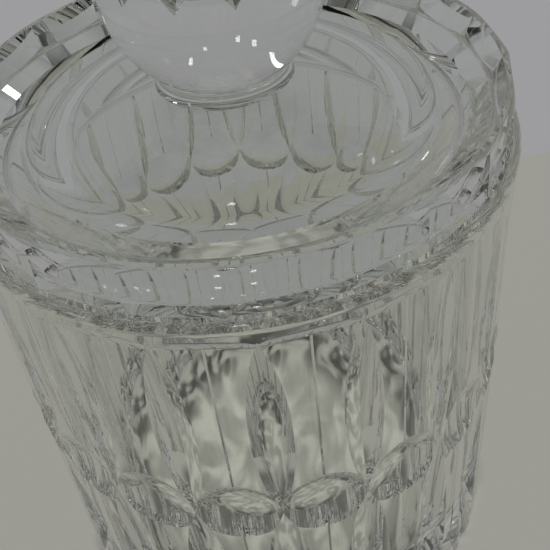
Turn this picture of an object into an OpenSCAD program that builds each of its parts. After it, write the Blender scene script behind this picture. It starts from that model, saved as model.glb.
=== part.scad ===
// Cut crystal biscuit jar: panelled jar, drop-in lid and solid ball knob.
// Origin at the centre of the foot, +Z up, millimetres.

/* [Jar] */
// Height of the jar from the table to the top of its rim
body_height = 146; // [110:1:190]
// Radius of the rim
rim_radius = 70.2; // [50:0.1:90]
// How far the round wall lies inside the rim
wall_inset = 0.25; // [0:0.05:1]
// Height of the rim band down to where it slopes to the wall
rim_band_height = 5; // [3.5:0.1:12]
// Thickness of the wall, from the rim to the inside
wall_thickness = 8.9; // [6.5:0.1:14]
// Thickness of the base under the inside floor
floor_thickness = 15; // [8:0.5:24]
// Radius of the corner between the floor and the inside wall
floor_corner_radius = 18; // [4:0.5:24]
// Height at which the wall starts to curve in to the foot
heel_height = 12; // [8:1:40]
// Radius of the curve from the wall to the foot
heel_curve_radius = 40; // [20:5:260]
// Radius of the rounded edge that the foot stands inside
foot_edge_radius = 4; // [2:0.5:6]
// Width of the ring that the foot stands on, with its rounded edge
foot_ring_width = 15.3; // [8:0.1:30]
// Depth of the hollow under the base
base_hollow_depth = 2.5; // [1:0.1:5]
// Rounding on the outer edge of the rim
rim_outer_round = 2.2; // [1:0.1:3]
// Rounding on the inner edge of the rim
rim_inner_round = 1.4; // [0.6:0.1:2.5]

/* [Cut pattern] */
// Number of flat panels round the jar, and of facets round the lid
panel_count = 20; // [12:1:28]
// How far the middles of the flat panels lie inside the rim
panel_depth = 1; // [0.5:0.05:2]
// Distance from the top of the rim to the top of the flat panels
panel_top_drop = 6.6; // [4:0.2:14]
// Radius of the sweep where a panel runs out under the rim
panel_sweep_radius = 6; // [3:0.5:14]
// Distance from the top of the rim to the ring of round cuts
ring_drop = 66.3; // [40:0.5:100]
// Depth of the round ball cuts
ball_cut_depth = 2.9; // [1.5:0.1:4]
// Width of the tall almond cuts above the ring
almond_width = 9.9; // [5:0.1:14]
// Depth of the tall almond cuts at their middle
almond_depth = 3.3; // [1.5:0.1:4.5]
// Distance from the top of the rim to the upper tip of the tall almonds
almond_top_drop = 5.2; // [3:0.2:12]
// Width of the long pointed cuts below the ring
flute_width = 13.2; // [7:0.1:16]
// Depth of the long pointed cuts at their middle
flute_depth = 3.9; // [1.5:0.1:5]
// Length of the long pointed cuts
flute_length = 90; // [50:1:120]
// Radius of the curved flank of the cutting wheels
flank_radius = 18; // [10:1:60]
// Height of the lower end of the fine upright lines
line_start = 12; // [6:1:40]
// How far the tips of neighbouring cuts run into each other
cut_overlap = 0.6; // [0.3:0.1:1.2]
// Depth of the fine line down the middle of each panel
line_depth = 0.3; // [0.1:0.05:0.6]

/* [Lid] */
// How far the corners of the lid's facets lie inside the rim
lid_inset = 2.2; // [0:0.1:6]
// Height of the faceted edge of the lid
lid_edge_height = 13; // [8:0.5:20]
// Lean of the facets towards the centre, in degrees
facet_lean = 1.6; // [0:0.1:6]
// Rounding on the lower edge of the lid
lid_lower_round = 1.6; // [0.5:0.1:3]
// Rounding on the crest of the lid
lid_crest_round = 1.5; // [0.6:0.1:3]
// Width of the sloping band between the facets and the dome
lid_band_width = 17.2; // [10:0.1:26]
// Height of the bottom of the valley above the seat
valley_height = 4.8; // [2:0.2:8]
// Radius of the ball that the top of the dome is part of
dome_ball_radius = 150; // [90:5:300]
// Height that the top of the dome would reach under the knob
dome_height = 15.8; // [12:0.2:24]
// Radius of the rounded shoulder of the dome
dome_shoulder = 6; // [2:0.5:10]
// Radius of the flare from the dome up to the joint with the knob
collar_flare = 4.5; // [2:0.5:7]
// Gap round the locating ring in the mouth of the jar
plug_gap = 0.7; // [0.3:0.1:1.5]
// Depth of the locating ring below the seat
plug_depth = 8; // [4:0.5:14]
// Rounding on the lower outer edge of the locating ring
plug_round = 1.5; // [0.5:0.1:3]
// Height of the top of the hollow under the lid above the seat
hollow_height = 8.5; // [3:0.5:10]
// Radius of the ball that the crown of the hollow is part of
hollow_ball_radius = 88; // [60:2:200]
// Distance from the foot of the dome in to where the hollow's crown turns into its side
hollow_side_inset = 15.8; // [10:0.2:28]
// Radius of the curve of the hollow's side
hollow_side_radius = 21; // [8:1:30]
// Rounding on the inner edge of the locating ring
hollow_lip_round = 1.5; // [0.5:0.1:3]
// Turn of the lid on the jar, in degrees
lid_turn = -3.3; // [-9:0.1:9]
// Gap left between the lid and the rim it rests on
seat_gap = 0.3; // [0.2:0.05:0.5]

/* [Knob] */
// Radius of the solid ball knob
knob_radius = 25.7; // [16:0.1:34]
// Height of the centre of the ball above the lid's seat
knob_centre = 38.8; // [30:0.2:52]
// Radius of the waist where the knob is joined to the lid
neck_radius = 15.6; // [9:0.1:20]
// Height of the joint between knob and lid above the seat
neck_height = 18; // [14:0.2:24]
// Number of pointed cuts over the top of the knob
knob_cut_count = 13; // [8:1:16]
// Height above the ball's equator of the tips of the cuts, in degrees
knob_cut_tip_angle = 7.5; // [0:0.5:40]
// Turn of the star of cuts, in degrees
knob_turn = -17.5; // [-30:0.1:30]
// Height above the middle of the ball at which the cuts would meet
knob_star_height = 21.6; // [14:0.1:25]
// Depth of the small flat that takes off the point of the star
knob_flat_drop = 1.2; // [0.8:0.1:3]

/* [Hidden] */
$fn = 120;
// "all", or the name of one node

step = 360 / panel_count;
half = step / 2;
inner_radius = rim_radius - wall_thickness;
lid_radius = rim_radius - lid_inset;
dome_radius = lid_radius - lid_band_width;
hollow_crown_radius = dome_radius - hollow_side_inset;
wall_radius = rim_radius - wall_inset;
panel_apothem = rim_radius - panel_depth;
// where the planes of two neighbouring panels meet
corner_radius = panel_apothem / cos(half);
panel_half_width = corner_radius * sin(half);
panel_top = body_height - panel_top_drop;
ring_z = body_height - ring_drop;

heel_centre_x = wall_radius - heel_curve_radius;
foot_outer = heel_centre_x + sqrt(pow(heel_curve_radius, 2) - pow(heel_height - foot_edge_radius, 2));
base_hollow_radius = foot_outer - foot_ring_width;

// neighbouring ball cuts just run into each other on the corners
ball_cut_half = panel_half_width + cut_overlap / 2;
ball_cut_radius = (pow(ball_cut_half, 2) + pow(ball_cut_depth, 2)) / (2 * ball_cut_depth);

// the pointed cuts cross a little at the ring, so that their tips meet
almond_half = (ring_drop + cut_overlap - almond_top_drop) / 2;
almond_z = ring_z - cut_overlap + almond_half;
flute_half = flute_length / 2;
flute_z = ring_z + cut_overlap + 0.1 - flute_half;

seat_z = body_height + seat_gap;
plug_radius = inner_radius - plug_gap;
facet_apothem = lid_radius * cos(half);
knob_z = seat_z + knob_centre;
joint_z = seat_z + neck_height;

// dome: a ball cap whose edge runs into a rounded shoulder
shoulder_x = dome_radius - dome_shoulder;
shoulder_z = dome_height - dome_ball_radius
    + sqrt(pow(dome_ball_radius - dome_shoulder, 2) - shoulder_x * shoulder_x);
dome_edge_x = shoulder_x * dome_ball_radius / (dome_ball_radius - dome_shoulder);
dome_edge_z = dome_height - dome_ball_radius
    + sqrt(pow(dome_ball_radius, 2) - dome_edge_x * dome_edge_x);

// hollow: a ball crown that runs into a tighter side, then the rounded lip
crown_angle = asin(hollow_crown_radius / hollow_ball_radius);
crown_z = hollow_height - hollow_ball_radius * (1 - cos(crown_angle));
side_x = hollow_crown_radius - hollow_side_radius * sin(crown_angle);
side_z = crown_z - hollow_side_radius * cos(crown_angle);
lip_z = hollow_lip_round - plug_depth;
lip_x = side_x + sqrt(pow(hollow_side_radius + hollow_lip_round, 2) - pow(lip_z - side_z, 2));
lip_share = hollow_side_radius / (hollow_side_radius + hollow_lip_round);
lip_start = [side_x + (lip_x - side_x) * lip_share, side_z + (lip_z - side_z) * lip_share];

glass = [0.86, 0.89, 0.88];

// ---------------------------------------------------------------- jar

// Outline of the round blank, from the axis outwards
module blank_outline() {
    difference() {
        union() {
            // wall above the heel; the rim band slopes in to it, four down for one in
            polygon([
                [0, heel_height],
                [wall_radius, heel_height],
                [wall_radius, body_height - rim_band_height - 4 * wall_inset],
                [rim_radius, body_height - rim_band_height],
                [rim_radius, body_height - rim_outer_round],
                [0, body_height - rim_outer_round]
            ]);
            // curved heel
            intersection() {
                translate([heel_centre_x, heel_height]) circle(heel_curve_radius, $fn = 360);
                square([wall_radius, heel_height]);
            }
            // top of the rim
            translate([0, body_height - rim_outer_round - 0.01])
                square([rim_radius - rim_outer_round, rim_outer_round + 0.01]);
            translate([rim_radius - rim_outer_round, body_height - rim_outer_round])
                circle(rim_outer_round);
        }
        // round the edge of the foot
        difference() {
            translate([foot_outer - foot_edge_radius, -1])
                square([foot_edge_radius + 6, foot_edge_radius + 1]);
            translate([foot_outer - foot_edge_radius, foot_edge_radius])
                circle(foot_edge_radius);
        }
    }
}

// Outline of the inside, with the rounded inner edge of the rim
module cavity_outline() {
    translate([0, floor_thickness])
        square([inner_radius - floor_corner_radius, body_height]);
    translate([inner_radius - floor_corner_radius, floor_thickness + floor_corner_radius])
        circle(floor_corner_radius);
    translate([0, floor_thickness + floor_corner_radius])
        square([inner_radius, body_height]);
    difference() {
        translate([inner_radius - 1, body_height - rim_inner_round])
            square([rim_inner_round + 1, rim_inner_round + 1]);
        translate([inner_radius + rim_inner_round, body_height - rim_inner_round])
            circle(rim_inner_round);
    }
}

// Flat panel cutter with a sweep at its upper end
module panel_cutter() {
    translate([0, 16, 0]) rotate([90, 0, 0]) linear_extrude(32) {
        translate([panel_apothem, -2]) square([20, panel_top + 2]);
        translate([panel_apothem + panel_sweep_radius, panel_top])
            circle(panel_sweep_radius);
    }
}

// Section of a wheel edge: two curved flanks that meet in a point at x = 0
module wheel_edge(depth, half_width) {
    // the flat wall falls away on both sides of a corner
    d = depth - half_width * tan(half);
    chord = sqrt(d * d + half_width * half_width);
    reach = sqrt(pow(flank_radius, 2) - chord * chord / 4);
    cx = -d / 2 - reach * half_width / chord;
    cy = half_width / 2 - reach * d / chord;
    intersection() {
        translate([cx, cy]) circle(flank_radius, $fn = 240);
        translate([cx, -cy]) circle(flank_radius, $fn = 240);
        translate([-depth - 2.5, -flank_radius]) square([depth + 3, 2 * flank_radius]);
    }
}

// Upright cutting wheel that leaves one pointed cut on a corner of the wall
module upright_cut(z, half_length, depth, half_width) {
    wheel = half_length * half_length / (2 * depth) + depth / 2;
    sweep = asin((half_length + 2.5) / wheel);
    translate([corner_radius - depth + wheel, 0, z]) rotate([90, 0, 0])
        rotate([0, 0, 180 - sweep]) rotate_extrude(angle = 2 * sweep, $fn = 720)
            translate([wheel, 0]) wheel_edge(depth, half_width);
}

module jar_body() {
    color(glass) difference() {
        rotate_extrude($fn = 240) blank_outline();
        rotate_extrude($fn = 240) cavity_outline();
        // hollow under the base
        base_ball = (pow(base_hollow_radius, 2) + pow(base_hollow_depth, 2)) / (2 * base_hollow_depth);
        translate([0, 0, base_hollow_depth - base_ball]) sphere(base_ball, $fn = 720);
        for (i = [0 : panel_count - 1]) {
            rotate([0, 0, (i + 0.5) * step - 90]) {
                panel_cutter();
                // round ball cut in the middle of the panel
                translate([panel_apothem - ball_cut_depth + ball_cut_radius, 0, ring_z])
                    sphere(ball_cut_radius, $fn = 180);
                // fine upright line
                bar = 1.2;
                translate([panel_apothem + bar / sqrt(2) - line_depth, 0, 0]) rotate([0, 0, 45])
                    translate([-bar / 2, -bar / 2, line_start]) cube([bar, bar, panel_top - line_start]);
            }
            rotate([0, 0, i * step - 90]) {
                upright_cut(almond_z, almond_half, almond_depth, almond_width / 2);
                upright_cut(flute_z, flute_half, flute_depth, flute_width / 2);
            }
        }
    }
}

// ---------------------------------------------------------------- lid

// Outline of the lid from above the seat down to its locating ring
module lid_outline() {
    crest_x = lid_radius - lid_crest_round;
    difference() {
        union() {
            // edge band with rounded lower corner and crest
            translate([0, lid_lower_round])
                square([lid_radius, lid_edge_height - lid_lower_round - lid_crest_round]);
            square([lid_radius - lid_lower_round, lid_lower_round + 1]);
            translate([lid_radius - lid_lower_round, lid_lower_round]) circle(lid_lower_round);
            translate([0, lid_edge_height - lid_crest_round - 1])
                square([crest_x, lid_crest_round + 1]);
            translate([crest_x, lid_edge_height - lid_crest_round]) circle(lid_crest_round);
            // locating ring
            translate([0, plug_round - plug_depth]) square([plug_radius, plug_depth]);
            translate([0, -plug_depth]) square([plug_radius - plug_round, plug_depth]);
            translate([plug_radius - plug_round, plug_round - plug_depth]) circle(plug_round);
        }
        // slope from the crest down to the foot of the dome
        polygon([
            [dome_radius - 2, valley_height],
            [dome_radius + 0.7, valley_height],
            [crest_x - 1, lid_edge_height],
            [crest_x - 1, lid_edge_height + 9],
            [dome_radius - 2, lid_edge_height + 9]
        ]);
        translate([-1, valley_height + 1]) square([dome_radius, 40]);
    }
    // dome with its rounded shoulder
    intersection() {
        translate([0, dome_height - dome_ball_radius]) circle(dome_ball_radius, $fn = 720);
        square([dome_edge_x, 40]);
    }
    square([shoulder_x, dome_edge_z]);
    square([dome_radius, max(shoulder_z, 0.5)]);
    translate([shoulder_x, shoulder_z]) circle(dome_shoulder);
    // collar that flares down from the joint with the knob
    difference() {
        square([neck_radius + collar_flare, neck_height]);
        translate([neck_radius + collar_flare, neck_height]) circle(collar_flare);
    }
}

// Outline of the hollow under the lid
module lid_hollow_outline() {
    intersection() {
        translate([0, hollow_height - hollow_ball_radius]) circle(hollow_ball_radius, $fn = 720);
        translate([0, crown_z]) square([hollow_crown_radius, 40]);
    }
    translate([0, -plug_depth - 1]) square([side_x + 2, crown_z + plug_depth + 1.1]);
    intersection() {
        translate([side_x, side_z]) circle(hollow_side_radius, $fn = 360);
        translate([side_x, -plug_depth - 1]) square([60, 40]);
    }
    difference() {
        polygon([
            [side_x, lip_start[1]],
            lip_start,
            [lip_x, -plug_depth],
            [lip_x, -plug_depth - 1],
            [side_x, -plug_depth - 1]
        ]);
        translate([lip_x, lip_z]) circle(hollow_lip_round);
    }
}

module lid_cover() {
    color(glass) translate([0, 0, seat_z]) difference() {
        rotate_extrude($fn = 240) intersection() {
            lid_outline();
            translate([0, -50]) square([200, 200]);
        }
        rotate_extrude($fn = 240) lid_hollow_outline();
        for (i = [0 : panel_count - 1])
            rotate([0, 0, i * step - 90 + half + lid_turn])
                translate([facet_apothem, -15, 0]) rotate([0, -facet_lean, 0])
                    translate([0, 0, -1]) cube([20, 30, 30]);
    }
}

// ---------------------------------------------------------------- knob

module knob_outline() {
    intersection() {
        union() {
            translate([0, knob_centre]) circle(knob_radius, $fn = 240);
            translate([0, neck_height]) square([neck_radius, 6]);
        }
        translate([0, neck_height])
            square([100, knob_centre + knob_star_height - knob_flat_drop - neck_height]);
    }
}

// Straight pointed groove from the side of the ball up to the middle of its top
module knob_cutter() {
    tip = [knob_radius * cos(knob_cut_tip_angle), knob_radius * sin(knob_cut_tip_angle)];
    slope = atan2(knob_star_height - tip[1], tip[0]);
    translate([0, 0, knob_star_height]) rotate([0, slope, 0])
        rotate([90, 0, 90]) translate([0, 0, knob_flat_drop]) linear_extrude(45)
            polygon([[0, 0], [24, 20], [-24, 20]]);
}

module lid_knob() {
    color(glass) difference() {
        translate([0, 0, seat_z]) rotate_extrude($fn = 240) intersection() {
            knob_outline();
            square([200, 200]);
        }
        for (i = [0 : knob_cut_count - 1])
            translate([0, 0, knob_z])
                rotate([0, 0, i * 360 / knob_cut_count - 90 + knob_turn]) knob_cutter();
    }
}

jar_body();
lid_cover();
lid_knob();
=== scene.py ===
"""Cut crystal biscuit jar, dressed for rendering. Metres, +Z up, centre of the foot at the origin."""

import math

import bpy
from bpy.props import FloatProperty, FloatVectorProperty, IntProperty, PointerProperty
from mathutils import Matrix, Vector


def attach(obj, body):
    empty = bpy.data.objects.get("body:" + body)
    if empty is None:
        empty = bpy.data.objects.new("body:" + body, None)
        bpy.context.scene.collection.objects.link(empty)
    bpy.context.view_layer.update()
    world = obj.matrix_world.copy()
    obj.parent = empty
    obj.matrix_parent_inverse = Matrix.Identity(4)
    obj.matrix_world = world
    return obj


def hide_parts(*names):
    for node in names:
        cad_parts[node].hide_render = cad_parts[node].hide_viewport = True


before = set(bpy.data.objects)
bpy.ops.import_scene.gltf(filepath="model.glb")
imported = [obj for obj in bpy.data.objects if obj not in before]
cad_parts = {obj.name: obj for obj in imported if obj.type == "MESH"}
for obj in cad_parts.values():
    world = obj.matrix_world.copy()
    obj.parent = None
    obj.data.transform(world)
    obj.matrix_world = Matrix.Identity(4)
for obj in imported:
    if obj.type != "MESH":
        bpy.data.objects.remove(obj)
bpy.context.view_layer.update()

bl_info = {
    "name": "Cut crystal biscuit jar",
    "version": (1, 0, 0),
    "blender": (4, 5, 0),
    "location": "View3D > Sidebar > Biscuit Jar",
    "description": "Builds a cut crystal biscuit jar with a faceted lid and a ball knob",
    "category": "Add Mesh",
}

MM = 0.001


# ------------------------------------------------------------------ sizes


def linear(code):
    """An sRGB hex colour as the linear values that a shader takes."""
    channels = [int(code[i : i + 2], 16) / 255 for i in (1, 3, 5)]
    return [c / 12.92 if c <= 0.04045 else ((c + 0.055) / 1.055) ** 2.4 for c in channels]


class JarSizes(bpy.types.PropertyGroup):
    """Sizes of the jar and its cuts"""

    height: FloatProperty(
        name="Height", description="Table to the top of the rim",
        default=146 * MM, unit="LENGTH",
    )
    rim_radius: FloatProperty(
        name="Rim radius", description="Radius of the rim",
        default=70.2 * MM, unit="LENGTH",
    )
    wall_inset: FloatProperty(
        name="Wall inset", description="Rim to the round wall",
        default=0.25 * MM, unit="LENGTH",
    )
    wall: FloatProperty(
        name="Wall", description="Thickness from the rim to the inside",
        default=8.9 * MM, unit="LENGTH",
    )
    floor: FloatProperty(
        name="Floor", description="Thickness of the base",
        default=15 * MM, unit="LENGTH",
    )
    heel_height: FloatProperty(
        name="Heel height", description="Where the wall starts to curve in",
        default=12 * MM, unit="LENGTH",
    )
    heel_radius: FloatProperty(
        name="Heel radius", description="Radius of the curve to the foot",
        default=40 * MM, unit="LENGTH",
    )
    panels: IntProperty(
        name="Panels", description="Number of flat panels",
        default=20, min=12, max=28,
    )
    panel_depth: FloatProperty(
        name="Panel depth", description="Rim to the middle of a panel",
        default=1.0 * MM, unit="LENGTH",
    )
    panel_drop: FloatProperty(
        name="Panel drop", description="Rim to the top of the panels",
        default=6.6 * MM, unit="LENGTH",
    )
    ring_drop: FloatProperty(
        name="Ring drop", description="Rim to the ring of ball cuts",
        default=66.3 * MM, unit="LENGTH",
    )
    ball_depth: FloatProperty(
        name="Ball cut depth", description="Depth of a ball cut",
        default=2.9 * MM, unit="LENGTH",
    )
    almond_width: FloatProperty(
        name="Almond width", description="Width of a tall almond cut",
        default=9.9 * MM, unit="LENGTH",
    )
    almond_depth: FloatProperty(
        name="Almond depth", description="Depth of a tall almond cut",
        default=3.3 * MM, unit="LENGTH",
    )
    almond_drop: FloatProperty(
        name="Almond drop", description="Rim to the tip of an almond cut",
        default=5.2 * MM, unit="LENGTH",
    )
    flute_width: FloatProperty(
        name="Flute width", description="Width of a long lower cut",
        default=13.2 * MM, unit="LENGTH",
    )
    flute_depth: FloatProperty(
        name="Flute depth", description="Depth of a long lower cut",
        default=3.9 * MM, unit="LENGTH",
    )
    flute_length: FloatProperty(
        name="Flute length", description="Length of a long lower cut",
        default=90 * MM, unit="LENGTH",
    )
    overlap: FloatProperty(
        name="Overlap", description="How far neighbouring cuts run into each other",
        default=0.6 * MM, unit="LENGTH",
    )
    flank_radius: FloatProperty(
        name="Flank radius", description="Curve of the cutting wheel's flank",
        default=18 * MM, unit="LENGTH",
    )
    line_depth: FloatProperty(
        name="Line depth", description="Depth of the fine upright lines",
        default=0.3 * MM, unit="LENGTH",
    )


class LidSizes(bpy.types.PropertyGroup):
    """Sizes of the lid"""

    seat_gap: FloatProperty(
        name="Seat gap", description="Rim to the lid",
        default=0.3 * MM, unit="LENGTH",
    )
    inset: FloatProperty(
        name="Inset", description="Rim to the corners of the facets",
        default=2.2 * MM, unit="LENGTH",
    )
    edge: FloatProperty(
        name="Edge height", description="Height of the faceted edge",
        default=13 * MM, unit="LENGTH",
    )
    lean: FloatProperty(
        name="Facet lean", description="Lean of the facets",
        default=math.radians(1.6), subtype="ANGLE",
    )
    turn: FloatProperty(
        name="Turn", description="Turn of the lid on the jar",
        default=math.radians(-3.3), subtype="ANGLE",
    )
    lower_round: FloatProperty(
        name="Lower rounding", description="Rounding of the lower edge",
        default=1.6 * MM, unit="LENGTH",
    )
    crest_round: FloatProperty(
        name="Crest rounding", description="Rounding of the crest",
        default=1.5 * MM, unit="LENGTH",
    )
    band: FloatProperty(
        name="Band", description="Width of the slope between facets and dome",
        default=17.2 * MM, unit="LENGTH",
    )
    valley: FloatProperty(
        name="Valley", description="Height of the valley round the dome",
        default=4.8 * MM, unit="LENGTH",
    )
    dome_ball: FloatProperty(
        name="Dome ball", description="Radius of the dome's curve",
        default=150 * MM, unit="LENGTH",
    )
    dome_height: FloatProperty(
        name="Dome height", description="Height of the dome's middle",
        default=15.8 * MM, unit="LENGTH",
    )
    shoulder: FloatProperty(
        name="Shoulder", description="Radius of the dome's shoulder",
        default=6 * MM, unit="LENGTH",
    )
    flare: FloatProperty(
        name="Collar flare", description="Radius of the flare under the knob",
        default=4.5 * MM, unit="LENGTH",
    )
    plug_gap: FloatProperty(
        name="Ring gap", description="Gap round the locating ring",
        default=0.7 * MM, unit="LENGTH",
    )
    plug_depth: FloatProperty(
        name="Ring depth", description="Depth of the locating ring",
        default=8 * MM, unit="LENGTH",
    )
    plug_round: FloatProperty(
        name="Ring rounding", description="Rounding of the locating ring",
        default=1.5 * MM, unit="LENGTH",
    )
    hollow: FloatProperty(
        name="Hollow", description="Height of the hollow's middle",
        default=8.5 * MM, unit="LENGTH",
    )
    hollow_ball: FloatProperty(
        name="Hollow ball", description="Curve of the hollow's crown",
        default=88 * MM, unit="LENGTH",
    )
    crown_inset: FloatProperty(
        name="Crown inset", description="Dome's foot to the side of the hollow",
        default=15.8 * MM, unit="LENGTH",
    )
    side_radius: FloatProperty(
        name="Side radius", description="Curve of the hollow's side",
        default=21 * MM, unit="LENGTH",
    )
    lip_round: FloatProperty(
        name="Lip rounding", description="Rounding of the ring's inner edge",
        default=1.5 * MM, unit="LENGTH",
    )
    neck_radius: FloatProperty(
        name="Neck radius", description="Radius of the waist under the knob",
        default=15.6 * MM, unit="LENGTH",
    )
    neck_height: FloatProperty(
        name="Neck height", description="Height of the waist",
        default=18 * MM, unit="LENGTH",
    )


class KnobSizes(bpy.types.PropertyGroup):
    """Sizes of the ball knob"""

    radius: FloatProperty(
        name="Radius", description="Radius of the ball",
        default=25.7 * MM, unit="LENGTH",
    )
    centre: FloatProperty(
        name="Centre", description="Seat to the middle of the ball",
        default=38.8 * MM, unit="LENGTH",
    )
    cuts: IntProperty(
        name="Cuts", description="Number of pointed cuts",
        default=13, min=8, max=16,
    )
    tip_angle: FloatProperty(
        name="Tip angle", description="Height of the cuts' tips",
        default=math.radians(7.5), subtype="ANGLE",
    )
    star: FloatProperty(
        name="Star height", description="Where the cuts would meet",
        default=21.6 * MM, unit="LENGTH",
    )
    flat: FloatProperty(
        name="Flat", description="Depth of the small flat on top",
        default=1.2 * MM, unit="LENGTH",
    )
    turn: FloatProperty(
        name="Turn", description="Turn of the cuts",
        default=math.radians(-17.5), subtype="ANGLE",
    )


class GlassLook(bpy.types.PropertyGroup):
    """Colour and finish of the glass"""

    ior: FloatProperty(
        name="Index", description="Index of refraction of the crystal",
        default=1.545, min=1.4, max=1.8,
    )
    tint: FloatVectorProperty(
        name="Tint", description="Colour of the crystal",
        subtype="COLOR", size=3, default=linear("#F3F5F2"),
    )
    wave: FloatProperty(
        name="Wave", description="Distance between the slow waves of the surface",
        default=16 * MM, unit="LENGTH",
    )
    smear: FloatProperty(
        name="Smear", description="Width of the faint wiping marks",
        default=9 * MM, unit="LENGTH",
    )


# ------------------------------------------------------------- mesh tools


def clear_selection():
    """Goes to object mode with nothing selected."""
    if bpy.context.object and bpy.context.object.mode != "OBJECT":
        bpy.ops.object.mode_set(mode="OBJECT")
    bpy.ops.object.select_all(action="DESELECT")


def make_active(obj):
    """Makes one object the only selected one."""
    clear_selection()
    obj.select_set(True)
    bpy.context.view_layer.objects.active = obj


def settle(name):
    """Names the new object and writes its place into its mesh."""
    obj = bpy.context.object
    obj.name = obj.data.name = name
    bpy.ops.object.transform_apply(location=True, rotation=True, scale=True)
    return obj


def set_at(obj, matrix):
    """Moves an object by a matrix and writes the move into its mesh."""
    obj.matrix_world = matrix
    make_active(obj)
    bpy.ops.object.transform_apply(location=True, rotation=True, scale=True)


def arc(cx, cz, radius, start, end, steps):
    """Points along a circle from one angle to another, in degrees, both ends included."""
    turns = [math.radians(start + (end - start) * i / steps) for i in range(steps + 1)]
    return [(cx + radius * math.cos(t), cz + radius * math.sin(t)) for t in turns]


def tidy_mesh(distance=MM * 0.002):
    """Merges doubles, drops zero-sized faces and points every face outwards."""
    bpy.ops.mesh.select_all(action="SELECT")
    bpy.ops.mesh.remove_doubles(threshold=distance)
    bpy.ops.mesh.select_all(action="SELECT")
    bpy.ops.mesh.dissolve_degenerate(threshold=distance)
    bpy.ops.mesh.select_all(action="SELECT")
    bpy.ops.mesh.normals_make_consistent(inside=False)


def draw_outline(name, points, closed=True, fill=False):
    """A chain of edges through the points, drawn by extruding one vertex along them."""
    clear_selection()
    bpy.ops.mesh.primitive_plane_add(size=MM, location=points[0])
    obj = settle(name)
    bpy.ops.object.mode_set(mode="EDIT")
    bpy.ops.mesh.select_mode(type="VERT")
    bpy.ops.mesh.select_all(action="SELECT")
    bpy.ops.mesh.merge(type="CENTER")
    for a, b in zip(points, points[1:]):
        bpy.ops.mesh.extrude_region_move(TRANSFORM_OT_translate={"value": Vector(b) - Vector(a)})
    if closed:
        bpy.ops.mesh.select_all(action="DESELECT")
        bpy.ops.object.mode_set(mode="OBJECT")
        obj.data.vertices[0].select = True
        obj.data.vertices[len(obj.data.vertices) - 1].select = True
        bpy.ops.object.mode_set(mode="EDIT")
        bpy.ops.mesh.edge_face_add()
    if fill:
        bpy.ops.mesh.select_all(action="SELECT")
        bpy.ops.mesh.edge_face_add()
    bpy.ops.object.mode_set(mode="OBJECT")
    return obj


def turn_on_lathe(name, outline):
    """Spins half of a section, given as distances from the axis and heights, into a closed solid."""
    obj = draw_outline(name, [(x, 0, z) for x, z in outline], closed=False)
    make_active(obj)
    bpy.ops.object.mode_set(mode="EDIT")
    bpy.ops.mesh.select_all(action="SELECT")
    bpy.ops.mesh.spin(steps=240, angle=math.tau, center=(0, 0, 0), axis=(0, 0, 1))
    tidy_mesh()
    bpy.ops.object.mode_set(mode="OBJECT")
    return obj


def push_out(obj, step):
    """Makes a flat face a solid by extruding it."""
    make_active(obj)
    bpy.ops.object.mode_set(mode="EDIT")
    bpy.ops.mesh.select_all(action="SELECT")
    bpy.ops.mesh.extrude_region_move(TRANSFORM_OT_translate={"value": step})
    tidy_mesh()
    bpy.ops.object.mode_set(mode="OBJECT")


def discard(obj):
    """Deletes an object and its mesh."""
    mesh = obj.data
    bpy.data.objects.remove(obj)
    bpy.data.meshes.remove(mesh)


def all_round(count, offset=0.0, first=0, step=1):
    """Turns for a ring of copies: the cutters are drawn on +X, and the front of the jar is -Y."""
    return [math.tau * (i + offset) / count - math.pi / 2 for i in range(first, count, step)]


def place_round(obj, angles, keep=False):
    """Joins copies of a cutter that are turned about the jar's axis by each angle."""
    copies = []
    for angle in angles:
        make_active(obj)
        bpy.ops.object.duplicate(linked=False)
        copy = bpy.context.object
        set_at(copy, Matrix.Rotation(angle, 4, "Z"))
        copies.append(copy)
    joined = copies[0]
    if len(copies) > 1:
        clear_selection()
        for copy in copies:
            copy.select_set(True)
        bpy.context.view_layer.objects.active = joined
        bpy.ops.object.join()
    if not keep:
        discard(obj)
    return joined


def require_closed(obj):
    """Stops when a mesh that is to be cut, or to cut, has a hole or a fin."""
    uses = {}
    for polygon in obj.data.polygons:
        for key in polygon.edge_keys:
            uses[key] = uses.get(key, 0) + 1
    bad = sum(1 for n in uses.values() if n != 2)
    if bad or not uses:
        raise RuntimeError(f"{obj.name} isn't closed: {bad} bad edges of {len(uses)}")


def cut_away(target, cutter, kind):
    """Cuts one closed mesh from another, and drops the cutter. The new faces take slot number kind."""
    require_closed(target)
    require_closed(cutter)
    for obj in (cutter, target):
        make_active(obj)
        while len(obj.material_slots) <= kind:
            bpy.ops.object.material_slot_add()
    for polygon in cutter.data.polygons:
        polygon.material_index = kind
    cut = target.modifiers.new("cut", "BOOLEAN")
    cut.operation = "DIFFERENCE"
    cut.solver = "MANIFOLD"
    cut.material_mode = "INDEX"
    cut.object = cutter
    before = len(target.data.polygons)
    bpy.ops.object.modifier_apply(modifier=cut.name)
    if not target.data.polygons:
        raise RuntimeError(f"cutting {target.name} with {cutter.name} left nothing of its {before} faces")
    discard(cutter)


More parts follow.
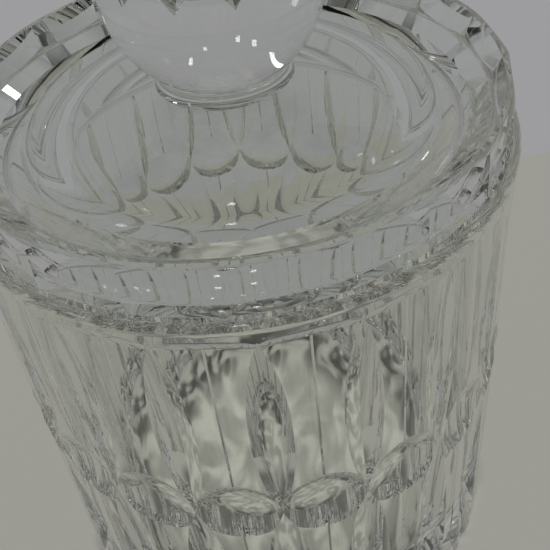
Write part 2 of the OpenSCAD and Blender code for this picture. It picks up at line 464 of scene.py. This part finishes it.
def polish(obj):
    """Smooth shading that stays crisp where two cuts meet, with flat cuts kept flat."""
    sharp_angle = math.radians(13)
    make_active(obj)
    bpy.ops.object.mode_set(mode="EDIT")
    tidy_mesh(MM * 0.001)
    # a cut keeps a crisp edge even where it runs out at a shallow angle
    for slot in range(1, len(obj.material_slots)):
        obj.active_material_index = slot
        bpy.ops.mesh.select_mode(type="FACE")
        bpy.ops.mesh.select_all(action="DESELECT")
        bpy.ops.object.material_slot_select()
        bpy.ops.mesh.region_to_loop()
        bpy.ops.mesh.mark_sharp()
    bpy.ops.object.mode_set(mode="OBJECT")
    bpy.ops.object.shade_smooth_by_angle(angle=sharp_angle, keep_sharp_edges=True)
    weigh = obj.modifiers.new("weigh", "WEIGHTED_NORMAL")
    weigh.mode = "FACE_AREA"
    weigh.weight = 50
    weigh.keep_sharp = True
    bpy.ops.object.modifier_apply(modifier=weigh.name)


# -------------------------------------------------------------- materials


def add_node(tree, kind, links=None, **settings):
    """Adds one shader node with its settings, and links its inputs from other nodes' outputs."""
    node = tree.nodes.new(kind)
    for key, value in settings.items():
        if key.startswith("in_"):
            name = key[3:].replace("_", " ")
            node.inputs[int(name) if name.isdigit() else name].default_value = value
        else:
            setattr(node, key, value)
    for name, socket in (links or {}).items():
        tree.links.new(socket, node.inputs[name])
    return node


def new_material(name):
    """An empty material, with its node tree and the Object coordinates."""
    material = bpy.data.materials.new(name)
    material.use_nodes = True
    tree = material.node_tree
    tree.nodes.clear()
    return material, tree, add_node(tree, "ShaderNodeTexCoord").outputs["Object"]


def wear(obj, material):
    """Gives the whole object one material, and drops the slots that marked its cuts."""
    for polygon in obj.data.polygons:
        polygon.material_index = 0
    obj.data.materials.clear()
    obj.data.materials.append(material)


def lead_crystal(name, look, wave_height):
    """Lead crystal, blown or pressed and then cut and acid polished: clear, bright and faintly wavy."""
    material, tree, place = new_material(name)
    # slow waves that the polish leaves, so highlights wander a little
    wave = add_node(
        tree, "ShaderNodeTexNoise", {"Vector": place},
        in_Scale=1 / look.wave, in_Detail=1.0, in_Roughness=0.4,
    )
    bump = add_node(
        tree, "ShaderNodeBump", {"Height": wave.outputs["Fac"]}, in_Strength=1.0, in_Distance=wave_height,
    )
    # faint wiping marks: they only soften the shine
    smear = add_node(
        tree, "ShaderNodeTexNoise", {"Vector": place},
        in_Scale=1 / look.smear, in_Detail=3.0, in_Roughness=0.6,
    )
    shine = add_node(
        tree, "ShaderNodeMapRange", {"Value": smear.outputs["Fac"]},
        in_From_Min=0.52, in_From_Max=0.8, in_To_Min=0.0, in_To_Max=0.03,
    )
    glass = add_node(
        tree, "ShaderNodeBsdfPrincipled",
        {"Roughness": shine.outputs["Result"], "Normal": bump.outputs["Normal"]},
        in_Base_Color=(*look.tint, 1), in_IOR=look.ior, in_Transmission_Weight=1.0,
    )
    add_node(tree, "ShaderNodeOutputMaterial", {"Surface": glass.outputs["BSDF"]})
    return material


def paint_light_and_shadow(tree, place, foot):
    """Painted light and shade on the table near the jar: soft painted ripples of light under it, standing in
    for light thrown through the cuts, and a wide soft painted shadow before it.
    """
    # painted ripples of light and shade under the jar, in place of light thrown through the glass
    painted_caustic_ripple = add_node(
        tree, "ShaderNodeTexNoise", {"Vector": place},
        in_Scale=1 / (24 * MM), in_Detail=1.5, in_Roughness=0.5, in_Distortion=1.6,
    ).outputs["Fac"]
    reach = add_node(tree, "ShaderNodeVectorMath", {0: place}, operation="LENGTH").outputs["Value"]
    # the painted shadow is twice as wide as it is deep, so it is a circle on a table squeezed to half its
    # width
    squeezed = add_node(tree, "ShaderNodeVectorMath", {0: place}, operation="MULTIPLY", in_1=(0.5, 1, 1))
    away = add_node(
        tree, "ShaderNodeVectorMath", {0: squeezed.outputs["Vector"]},
        operation="DISTANCE", in_1=(-0.05 * foot, -1.27 * foot, 0),
    ).outputs["Value"]
    fades = {}
    # painted light: bright ripples under the middle, darker ripples near the foot, and the painted shadow
    # beyond the foot
    for fade, value, low, high, start, end in (
        ("painted bright ripples", painted_caustic_ripple, 0.36, 0.64, 0.95, 1.72),
        ("painted dark ripples", painted_caustic_ripple, 0.4, 0.62, 0.06, 1.2),
        ("middle to foot", reach, 0.5 * foot, 0.76 * foot, 0.0, 1.0),
        ("foot to table", reach, 0.86 * foot, 0.98 * foot, 0.0, 1.0),
        ("shadow", away, 0.45 * foot, 0.8 * foot, 0.3, 1.0),
    ):
        fades[fade] = add_node(
            tree, "ShaderNodeMapRange", {"Value": value}, interpolation_type="SMOOTHSTEP",
            in_From_Min=low, in_From_Max=high, in_To_Min=start, in_To_Max=end,
        ).outputs["Result"]
    under = add_node(
        tree, "ShaderNodeMix",
        {0: fades["middle to foot"], 2: fades["painted bright ripples"], 3: fades["painted dark ripples"]},
    )
    level = add_node(
        tree, "ShaderNodeMix", {0: fades["foot to table"], 2: under.outputs[0], 3: fades["shadow"]},
    )
    return level.outputs[0]


def matt_paint(name, dark, light, pale, foot=None):
    """Matt paint with a very faint mottling, most of which shows at an even pale colour; on the table that
    colour carries painted ripples of light and a painted shadow.
    """
    share = 0.82
    material, tree, place = new_material(name)
    mottle = add_node(
        tree, "ShaderNodeTexNoise", {"Vector": place}, in_Scale=1 / (60 * MM), in_Detail=2.0,
    )
    tint = add_node(tree, "ShaderNodeValToRGB", {"Fac": mottle.outputs["Fac"]})
    for stop, colour in zip(tint.color_ramp.elements, (dark, light)):
        stop.color = (*linear(colour), 1)
    paint = add_node(
        tree, "ShaderNodeBsdfPrincipled", {"Base Color": tint.outputs["Color"]}, in_Roughness=0.6,
    )
    even = add_node(tree, "ShaderNodeEmission", in_Color=(*linear(pale), 1), in_Strength=1.0)
    # on the table, painted ripples of light under the jar and a painted shadow in front of it set the
    # strength of the pale colour
    if foot:
        tree.links.new(paint_light_and_shadow(tree, place, foot), even.inputs["Strength"])
    # the glass shows the same even colour, and on the table the same painted light and shadow, as the eye
    # sees beside it
    path = add_node(tree, "ShaderNodeLightPath").outputs
    seen = path["Is Camera Ray"]
    for ray in ("Is Glossy Ray", "Is Transmission Ray"):
        seen = add_node(tree, "ShaderNodeMath", {0: seen, 1: path[ray]}, operation="MAXIMUM").outputs["Value"]
    part = add_node(tree, "ShaderNodeMath", {0: seen}, operation="MULTIPLY", in_1=share)
    front = add_node(
        tree, "ShaderNodeMixShader",
        {0: part.outputs["Value"], 1: paint.outputs["BSDF"], 2: even.outputs["Emission"]},
    )
    # from behind, the backdrop is left out, so that the back of the jar can be looked at
    back = add_node(tree, "ShaderNodeNewGeometry").outputs["Backfacing"]
    behind = add_node(tree, "ShaderNodeMath", {0: back, 1: path["Is Camera Ray"]}, operation="MULTIPLY")
    clear = add_node(tree, "ShaderNodeBsdfTransparent")
    surface = add_node(
        tree, "ShaderNodeMixShader",
        {0: behind.outputs["Value"], 1: front.outputs["Shader"], 2: clear.outputs["BSDF"]},
    )
    add_node(tree, "ShaderNodeOutputMaterial", {"Surface": surface.outputs["Shader"]})
    return material


# ------------------------------------------------------------------- jar


def jar_outline(s):
    """Half of the blank's section, from the middle of the base out, up and down the inside."""
    foot_edge, foot_ring, hollow_depth = 4 * MM, 15.3 * MM, 2.5 * MM
    slope_foot, slope_top = 6 * MM, 5 * MM
    rim_round, inner_round, floor_corner = 2.2 * MM, 1.4 * MM, 18 * MM
    wall = s.rim_radius - s.wall_inset
    inner = s.rim_radius - s.wall
    # the heel curves in from the wall to the rounded edge of the foot
    heel_x = wall - s.heel_radius
    foot_x = heel_x + math.sqrt(s.heel_radius**2 - (s.heel_height - foot_edge) ** 2)
    heel_start = math.degrees(math.asin((foot_edge - s.heel_height) / s.heel_radius))
    # a shallow hollow under the base leaves a ring to stand on
    hollow = foot_x - foot_ring
    hollow_ball = (hollow**2 + hollow_depth**2) / (2 * hollow_depth)
    spread = math.degrees(math.asin(hollow / hollow_ball))
    outline = arc(0, hollow_depth - hollow_ball, hollow_ball, 90, 90 - spread, 16)
    outline += arc(foot_x - foot_edge, foot_edge, foot_edge, -90, 0, 10)
    outline += arc(heel_x, s.heel_height, s.heel_radius, heel_start, 0, 24)[1:]
    outline += [(wall, s.height - slope_foot), (s.rim_radius, s.height - slope_top)]
    outline += arc(s.rim_radius - rim_round, s.height - rim_round, rim_round, 0, 90, 12)
    outline += arc(inner + inner_round, s.height - inner_round, inner_round, 90, 180, 10)
    outline += arc(inner - floor_corner, s.floor + floor_corner, floor_corner, 0, -90, 28)
    return outline + [(0, s.floor)]


def panel_cutter(apothem, panel_top):
    """A block on +X that cuts one flat panel, and sweeps out under the rim."""
    sweep, below, reach, half_width = 6 * MM, 2 * MM, 14 * MM, 14 * MM
    side = [(apothem, -below), (apothem, panel_top)]
    side += arc(apothem + sweep, panel_top, sweep, 180, 90, 30)[1:]
    side += [(apothem + reach, panel_top + sweep), (apothem + reach, -below)]
    panel = draw_outline("panel_cutter", [(x, -half_width, z) for x, z in side], fill=True)
    push_out(panel, (0, 2 * half_width, 0))
    return panel


def ball_cutter(s, apothem, corner, ring_z):
    """The ball that grinds one round cut on +X, just wide enough to run into its neighbours."""
    half_width = corner * math.sin(math.pi / s.panels) + s.overlap / 2
    radius = (half_width**2 + s.ball_depth**2) / (2 * s.ball_depth)
    clear_selection()
    bpy.ops.mesh.primitive_uv_sphere_add(
        segments=144, ring_count=72, radius=radius, location=(apothem - s.ball_depth + radius, 0, ring_z),
    )
    return settle("ball_cutter")


def wheel_cutter(name, s, corner, depth, width, length, middle, steps):
    """One upright cutting wheel on +X: two curved flanks that meet in a point, swept along its arc."""
    flank_points, past_surface, past_tip = 12, 1.2 * MM, 2.5 * MM
    half_width, half_length, flank = width / 2, length / 2, s.flank_radius
    wheel = half_length**2 / (2 * depth) + depth / 2
    fall = depth - half_width * math.tan(math.pi / s.panels)
    chord = math.hypot(fall, half_width)
    reach = math.sqrt(flank**2 - chord**2 / 4)
    cx = -fall / 2 - reach * half_width / chord
    cy = half_width / 2 - reach * fall / chord
    # one flank from the point back to the wheel's body; the other is its mirror image
    tip = math.atan2(-cy, -cx)
    back = math.acos(max(-1.0, (-depth - past_surface - cx) / flank))
    upper = [
        (cx + flank * math.cos(t), cy + flank * math.sin(t))
        for t in [tip + (back - tip) * i / flank_points for i in range(flank_points + 1)]
    ]
    lower = [(x, -y) for x, y in reversed(upper[1:])]
    centre = corner - depth + wheel
    sweep = math.asin((half_length + past_tip) / wheel)
    points = []
    for x, y in upper + lower:
        radius = wheel + x
        points.append((centre - radius * math.cos(sweep), y, middle - radius * math.sin(sweep)))
    cutter = draw_outline(name, points)
    make_active(cutter)
    bpy.ops.object.mode_set(mode="EDIT")
    bpy.ops.mesh.select_all(action="SELECT")
    bpy.ops.mesh.spin(steps=steps, angle=2 * sweep, center=(centre, 0, middle), axis=(0, -1, 0))
    bpy.ops.mesh.select_all(action="SELECT")
    bpy.ops.mesh.fill_holes(sides=0)
    tidy_mesh()
    bpy.ops.object.mode_set(mode="OBJECT")
    return cutter


def line_cutter(s, apothem, panel_top):
    """A thin bar set on its edge, for the fine line down the middle of a panel."""
    bar, line_start = 1.2 * MM, 12 * MM
    clear_selection()
    bpy.ops.mesh.primitive_cube_add(
        size=1, location=(apothem + bar / math.sqrt(2) - s.line_depth, 0, (line_start + panel_top) / 2),
        rotation=(0, 0, math.pi / 4), scale=(bar, bar, panel_top - line_start),
    )
    return settle("line_cutter")


class JAR_OT_body(bpy.types.Operator):
    """Builds the jar: a turned blank with flat panels, almond cuts, ball cuts, flutes and fine lines"""

    bl_idname = "biscuit_jar.body"
    bl_label = "Jar body"

    def execute(self, context):
        s = context.scene.biscuit_jar
        apothem = s.rim_radius - s.panel_depth
        corner = apothem / math.cos(math.pi / s.panels)
        panel_top = s.height - s.panel_drop
        ring_z = s.height - s.ring_drop
        flute_clearance = 0.1 * MM
        body = turn_on_lathe("jar_glass", jar_outline(s))

        # almonds stand on the ring of ball cuts and flutes hang from it, on the corners between panels
        almond_length = s.ring_drop + s.overlap - s.almond_drop
        almond = wheel_cutter(
            "almond_cutter", s, corner, s.almond_depth, s.almond_width, almond_length,
            ring_z - s.overlap + almond_length / 2, 72,
        )
        flute = wheel_cutter(
            "flute_cutter", s, corner, s.flute_depth, s.flute_width, s.flute_length,
            ring_z + s.overlap + flute_clearance - s.flute_length / 2, 84,
        )
        # neighbouring panels overlap, and so do ball cuts, so their rings are cut in two goes
        rings = (
            (panel_cutter(apothem, panel_top), 0.5, 2),
            (ball_cutter(s, apothem, corner, ring_z), 0.5, 2),
            (almond, 0, 1),
            (flute, 0, 1),
            (line_cutter(s, apothem, panel_top), 0.5, 1),
        )
        for kind, (cutter, offset, goes) in enumerate(rings, start=1):
            for first in range(goes):
                turns = all_round(s.panels, offset, first, goes)
                cut_away(body, place_round(cutter, turns, keep=first < goes - 1), kind)

        polish(body)
        wear(body, lead_crystal("lead_crystal_cut", context.scene.glass_look, 0.02 * MM))
        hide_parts("jar_body")
        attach(body, "jar")
        return {"FINISHED"}


# ------------------------------------------------------------------- lid


def flare_foot(s, collar_x, ball_z):
    """Where the collar's flare meets the dome: its distance from the axis, and its angle on the flare."""
    steps = 199
    for i in range(steps + 1):
        turn = math.radians(180 + 90 * i / steps)
        x, z = collar_x + s.flare * math.cos(turn), s.neck_height + s.flare * math.sin(turn)
        if z <= ball_z + math.sqrt(s.dome_ball**2 - x**2):
            return x, math.degrees(turn)
    raise RuntimeError("the collar doesn't reach the dome")


def lid_outline(jar, s, k):
    """Half of the section of lid and knob, from the hollow out, over the dome and up the ball."""
    crest_flat, valley_width = 1 * MM, 0.7 * MM
    radius = jar.rim_radius - s.inset
    dome_radius = radius - s.band
    crown_radius = dome_radius - s.crown_inset
    plug = jar.rim_radius - jar.wall - s.plug_gap

    # hollow: a ball crown, a tighter side and a rounded lip
    crown = math.asin(crown_radius / s.hollow_ball)
    crown_edge = 90 - math.degrees(crown)
    side_x = crown_radius - s.side_radius * math.sin(crown)
    side_z = s.hollow - s.hollow_ball * (1 - math.cos(crown)) - s.side_radius * math.cos(crown)
    lip_z = s.lip_round - s.plug_depth
    lip_x = side_x + math.sqrt((s.side_radius + s.lip_round) ** 2 - (lip_z - side_z) ** 2)
    lip = math.degrees(math.atan2(lip_z - side_z, lip_x - side_x))
    outline = [(0, s.hollow)]
    outline += arc(0, s.hollow - s.hollow_ball, s.hollow_ball, 90, crown_edge, 40)[1:]
    outline += arc(side_x, side_z, s.side_radius, crown_edge, lip, 24)[1:]
    outline += arc(lip_x, lip_z, s.lip_round, 180 + lip, 270, 8)[1:]

    # locating ring, seat, edge and the slope down to the valley
    outline += arc(plug - s.plug_round, s.plug_round - s.plug_depth, s.plug_round, -90, 0, 8)
    outline += [(plug, 0)]
    outline += arc(radius - s.lower_round, s.lower_round, s.lower_round, -90, 0, 10)
    outline += arc(radius - s.crest_round, s.edge - s.crest_round, s.crest_round, 0, 90, 10)
    outline += [(radius - s.crest_round - crest_flat, s.edge), (dome_radius + valley_width, s.valley)]

    # dome: a rounded shoulder that runs into a ball cap, up to the collar's flare
    ball_z = s.dome_height - s.dome_ball
    shoulder_x = dome_radius - s.shoulder
    shoulder_z = ball_z + math.sqrt((s.dome_ball - s.shoulder) ** 2 - shoulder_x**2)
    valley_angle = math.degrees(math.asin((s.valley - shoulder_z) / s.shoulder))
    dome_edge = math.degrees(math.acos(shoulder_x / (s.dome_ball - s.shoulder)))
    collar_x = s.neck_radius + s.flare
    join_x, flare_angle = flare_foot(s, collar_x, ball_z)
    dome_end = math.degrees(math.acos(join_x / s.dome_ball))
    outline += arc(shoulder_x, shoulder_z, s.shoulder, valley_angle, dome_edge, 20)
    outline += arc(0, ball_z, s.dome_ball, dome_edge, dome_end, 40)[1:]
    outline += arc(collar_x, s.neck_height, s.flare, flare_angle, 180, 10)[1:]

    # waist, ball and the small flat on top
    waist_z = k.centre - math.sqrt(k.radius**2 - s.neck_radius**2)
    low = math.degrees(math.asin((waist_z - k.centre) / k.radius))
    high = math.degrees(math.asin((k.star - k.flat) / k.radius))
    outline += [(s.neck_radius, waist_z)]
    outline += arc(0, k.centre, k.radius, low, high, 96)[1:]
    return outline + [(0, k.centre + k.star - k.flat)]


def facet_cutter(jar, s, seat):
    """A block on +X that leans in, and takes one flat off the lid's edge."""
    apothem = (jar.rim_radius - s.inset) * math.cos(math.pi / jar.panels)
    clear_selection()
    bpy.ops.mesh.primitive_cube_add(
        size=1, location=(10 * MM, 0, 14 * MM), scale=(20 * MM, 28 * MM, 30 * MM),
    )
    block = settle("facet_cutter")
    set_at(block, Matrix.Translation((apothem, 0, seat)) @ Matrix.Rotation(-s.lean, 4, "Y"))
    return block


def star_cutter(k, seat):
    """A wedge on +X that cuts one point of the star, from the side of the ball to its top."""
    half_width, height, length = 24 * MM, 20 * MM, 45 * MM
    tip_x, tip_z = k.radius * math.cos(k.tip_angle), k.radius * math.sin(k.tip_angle)
    slope = math.atan2(k.star - tip_z, tip_x)
    corners = [(k.flat, 0, 0), (k.flat, half_width, height), (k.flat, -half_width, height)]
    wedge = draw_outline("knob_cutter", corners, fill=True)
    push_out(wedge, (length, 0, 0))
    star = Matrix.Translation((0, 0, seat + k.centre + k.star))
    set_at(wedge, star @ Matrix.Rotation(slope, 4, "Y"))
    return wedge


class JAR_OT_lid(bpy.types.Operator):
    """Builds the lid and its solid ball knob as one piece of glass"""

    bl_idname = "biscuit_jar.lid"
    bl_label = "Lid and knob"

    def execute(self, context):
        jar = context.scene.biscuit_jar
        s = context.scene.biscuit_lid
        k = context.scene.biscuit_knob
        seat = jar.height + s.seat_gap
        lid = turn_on_lathe("lid_glass", [(x, z + seat) for x, z in lid_outline(jar, s, k)])

        # neighbouring blocks overlap, so the facets are cut in two goes
        block = facet_cutter(jar, s, seat)
        turns = [t + s.turn for t in all_round(jar.panels, 0.5)]
        cut_away(lid, place_round(block, turns[::2], keep=True), 1)
        cut_away(lid, place_round(block, turns[1::2]), 1)

        # the wedges all meet at the top of the ball, so they cut one by one
        wedge = star_cutter(k, seat)
        for i in range(k.cuts):
            turn = math.tau * i / k.cuts - math.pi / 2 + k.turn
            cut_away(lid, place_round(wedge, [turn], keep=i < k.cuts - 1), 2)

        polish(lid)
        wear(lid, lead_crystal("lead_crystal_lid", context.scene.glass_look, 0.015 * MM))
        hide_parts("lid_cover", "lid_knob")
        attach(lid, "lid")
        return {"FINISHED"}


# ------------------------------------------------------------------ stage


def add_table(foot):
    """A plain painted table under the jar, with painted ripples of light under it and a painted shadow in
    front of it.
    """
    clear_selection()
    bpy.ops.mesh.primitive_grid_add(x_subdivisions=2, y_subdivisions=2, size=6, location=(0, 0, 0))
    table = settle("table_top")
    wear(table, matt_paint("painted_table", "#D0CEC4", "#D6D4CB", "#A7A69E", foot))


def add_backdrop():
    """A pale backdrop that leans back behind the table."""
    lean, turn, wide, tall = math.radians(62), math.radians(9.6), 5, 1.4
    foot = Vector((0, 0.138, 0))
    rise = Matrix.Rotation(turn, 3, "Z") @ Vector((0, math.cos(lean), math.sin(lean)))
    clear_selection()
    bpy.ops.mesh.primitive_plane_add(size=1, location=foot + rise * tall / 2, rotation=(lean, 0, turn))
    bpy.context.object.scale = (wide, tall, 1)
    backdrop = settle("backdrop")
    wear(backdrop, matt_paint("painted_backdrop", "#D2D1D4", "#D8D7DA", "#A8A8AA"))


def add_lamp(name, place, aim, size_x, size_y, watts, colour):
    """A small soft lamp that faces a point."""
    bpy.ops.object.light_add(type="AREA", location=place)
    lamp = bpy.context.object
    lamp.name = lamp.data.name = name
    lamp.data.shape = "RECTANGLE"
    lamp.data.size, lamp.data.size_y = size_x, size_y
    lamp.data.energy = watts
    lamp.data.color = linear(colour)
    lamp.rotation_euler = (Vector(aim) - Vector(place)).to_track_quat("-Z", "Y").to_euler()


def add_room(scene):
    """An even, dim room: pale walls half way up, darker low down, overhead and behind the viewer."""
    world = bpy.data.worlds.new("room")
    scene.world = world
    world.use_nodes = True
    tree = world.node_tree
    tree.nodes.clear()
    where = add_node(tree, "ShaderNodeTexCoord").outputs["Generated"]
    height = add_node(tree, "ShaderNodeSeparateXYZ", {"Vector": where}).outputs["Z"]
    ramp = add_node(tree, "ShaderNodeValToRGB", {"Fac": height})
    levels = ((0.0, 0.04), (0.12, 0.1), (0.35, 0.36), (0.6, 0.26), (0.8, 0.1), (1.0, 0.08))
    while len(ramp.color_ramp.elements) < len(levels):
        ramp.color_ramp.elements.new(0.5)
    for stop, (place, level) in zip(ramp.color_ramp.elements, levels):
        stop.position = place
        stop.color = (level * 0.985, level * 0.995, level, 1)
    facing = add_node(
        tree, "ShaderNodeVectorMath", {0: where}, operation="DOT_PRODUCT", in_1=(0, -0.98, 0.2),
    )
    shade = add_node(
        tree, "ShaderNodeMapRange", {"Value": facing.outputs["Value"]},
        in_From_Min=0.5, in_From_Max=0.95, in_To_Min=1.0, in_To_Max=0.25,
    )
    shaded = add_node(
        tree, "ShaderNodeVectorMath", {0: ramp.outputs["Color"], 1: shade.outputs["Result"]},
        operation="MULTIPLY",
    )
    sky = add_node(tree, "ShaderNodeBackground", {"Color": shaded.outputs["Vector"]}, in_Strength=1.0)
    add_node(tree, "ShaderNodeOutputWorld", {"Surface": sky.outputs["Background"]})


def add_camera(scene, seat):
    """A camera that looks down at the lid from close by, a little turned and tilted."""
    camera = bpy.data.cameras.new("camera")
    viewer = bpy.data.objects.new("camera", camera)
    scene.collection.objects.link(viewer)
    camera.lens, camera.sensor_width = 57.12, 36.0
    camera.clip_start = 0.01
    viewer.location = (4.025 * MM, -185.966 * MM, seat + 120.47 * MM)
    viewer.rotation_euler = [math.radians(turn) for turn in (46.742, 5.235, -5.491)]
    scene.camera = viewer


class JAR_OT_stage(bpy.types.Operator):
    """Sets the table, the backdrop behind it, the lights and the camera"""

    bl_idname = "biscuit_jar.stage"
    bl_label = "Table, lights and camera"

    def execute(self, context):
        scene = context.scene
        add_table(foot=74 * MM)
        add_backdrop()
        add_lamp("light_above", (-0.1, -0.45, 1.25), (0, 0, 0.05), 0.07, 0.1, 0.22, "#FFFFFF")
        add_lamp("light_left", (-1.1, -0.5, 0.75), (0, 0, 0.15), 0.09, 0.22, 0.28, "#FFFDF8")
        add_lamp("light_right", (1.1, 0.1, 0.8), (0, 0, 0.15), 0.05, 0.13, 0.08, "#F4F7FF")
        add_room(scene)
        add_camera(scene, scene.biscuit_jar.height + scene.biscuit_lid.seat_gap)
        scene.view_settings.view_transform = "Standard"
        # light crosses many walls of glass before it reaches the table
        scene.cycles.max_bounces = 20
        scene.cycles.transmission_bounces = 20
        scene.cycles.glossy_bounces = 12
        return {"FINISHED"}


# ------------------------------------------------------------------ panel


class JAR_PT_sidebar(bpy.types.Panel):
    """Lists the sizes of the jar and the operators that build it"""

    bl_label = "Biscuit Jar"
    bl_idname = "JAR_PT_sidebar"
    bl_space_type = "VIEW_3D"
    bl_region_type = "UI"
    bl_category = "Biscuit Jar"

    def draw(self, context):
        for group, sizes in GROUPS.items():
            for name in sizes.__annotations__:
                self.layout.prop(getattr(context.scene, group), name)
        for operator in (JAR_OT_body, JAR_OT_lid, JAR_OT_stage):
            self.layout.operator(operator.bl_idname)


GROUPS = {
    "biscuit_jar": JarSizes,
    "biscuit_lid": LidSizes,
    "biscuit_knob": KnobSizes,
    "glass_look": GlassLook,
}
CLASSES = (*GROUPS.values(), JAR_OT_body, JAR_OT_lid, JAR_OT_stage, JAR_PT_sidebar)


def register():
    for cls in CLASSES:
        bpy.utils.register_class(cls)
    for name, group in GROUPS.items():
        setattr(bpy.types.Scene, name, PointerProperty(type=group))


def unregister():
    for name in GROUPS:
        delattr(bpy.types.Scene, name)
    for cls in reversed(CLASSES):
        bpy.utils.unregister_class(cls)


def main():
    register()
    bpy.ops.biscuit_jar.body()
    bpy.ops.biscuit_jar.lid()
    bpy.ops.biscuit_jar.stage()


if __name__ == "__main__":
    main()
